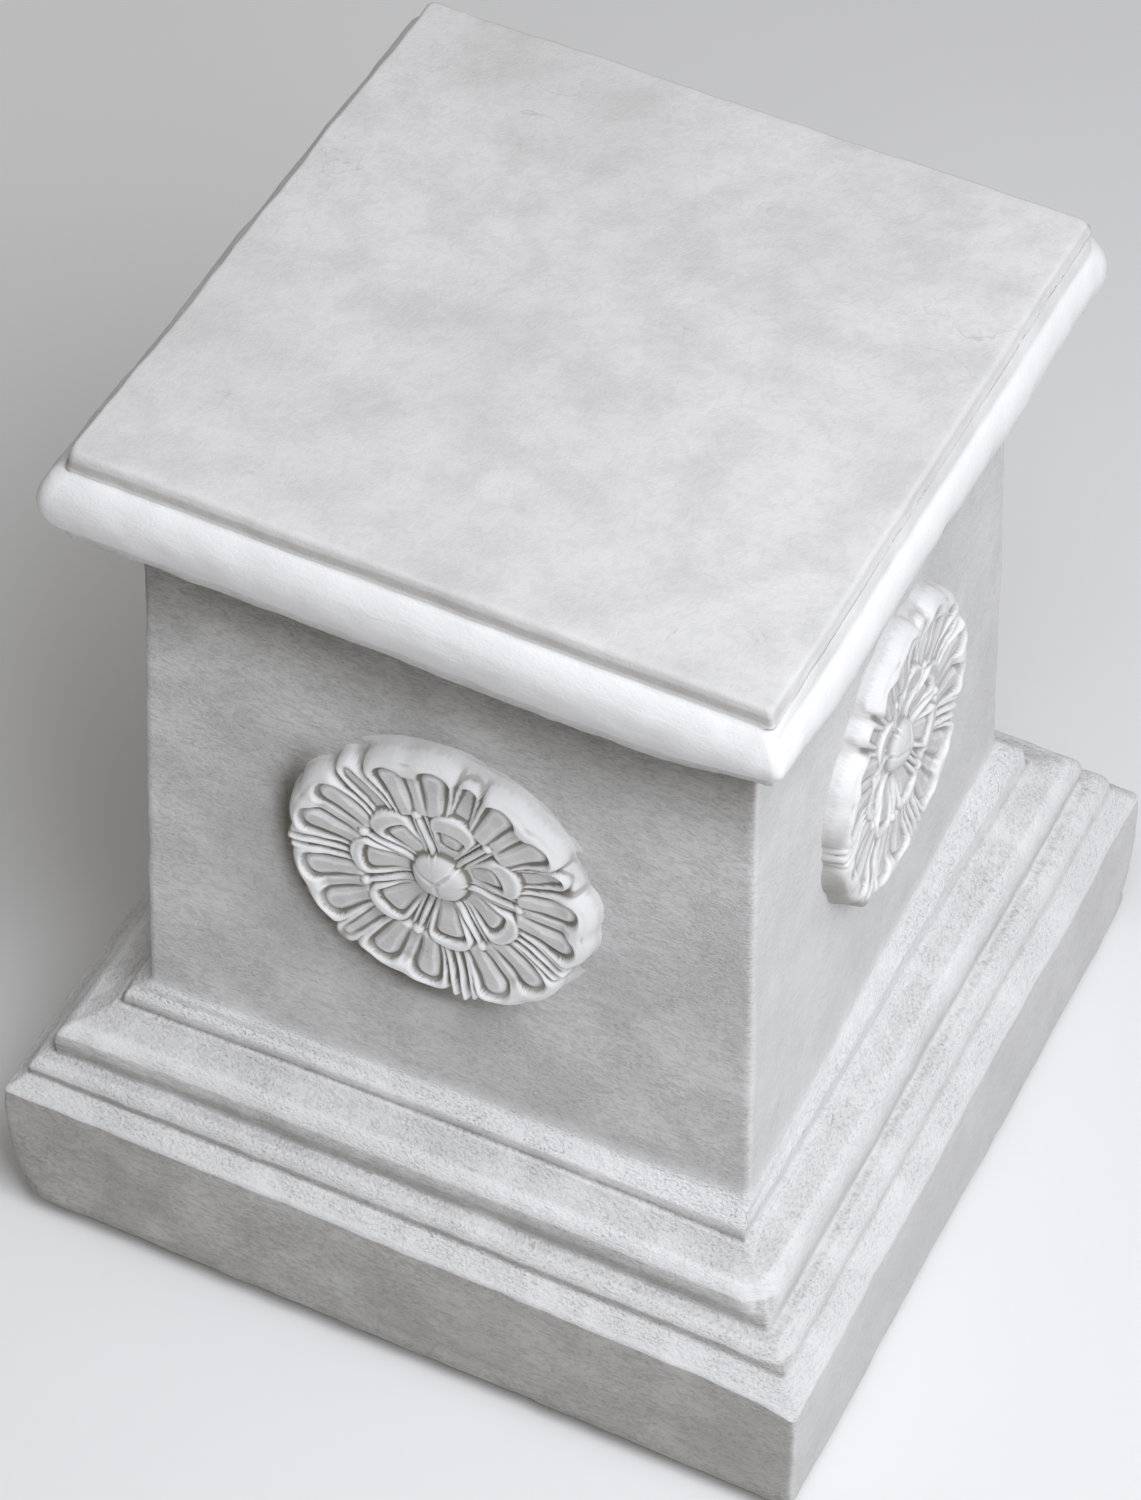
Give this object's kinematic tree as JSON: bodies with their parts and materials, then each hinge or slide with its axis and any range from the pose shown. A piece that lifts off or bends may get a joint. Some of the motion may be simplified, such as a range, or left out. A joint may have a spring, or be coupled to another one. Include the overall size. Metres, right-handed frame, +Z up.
{
  "type": "garden plinth",
  "caption": "Square cast stone plinth with a moulded base, a tapered shaft carrying a carved rosette on each face, and a bullnosed cap whose flat top holds an ornament or planter",
  "frame": {"origin": "on the ground, at the middle of the underside", "axes": "+Z up; -Y and +X are the two faces seen in the picture"},
  "size_m": [0.254, 0.254, 0.3024],
  "materials": {
    "cast_stone": "matt, brushed, with a grey wash left in the hollows"
  },
  "bodies": {
    "root": {"plinth": "cast_stone"}
  },
  "joints": []
}
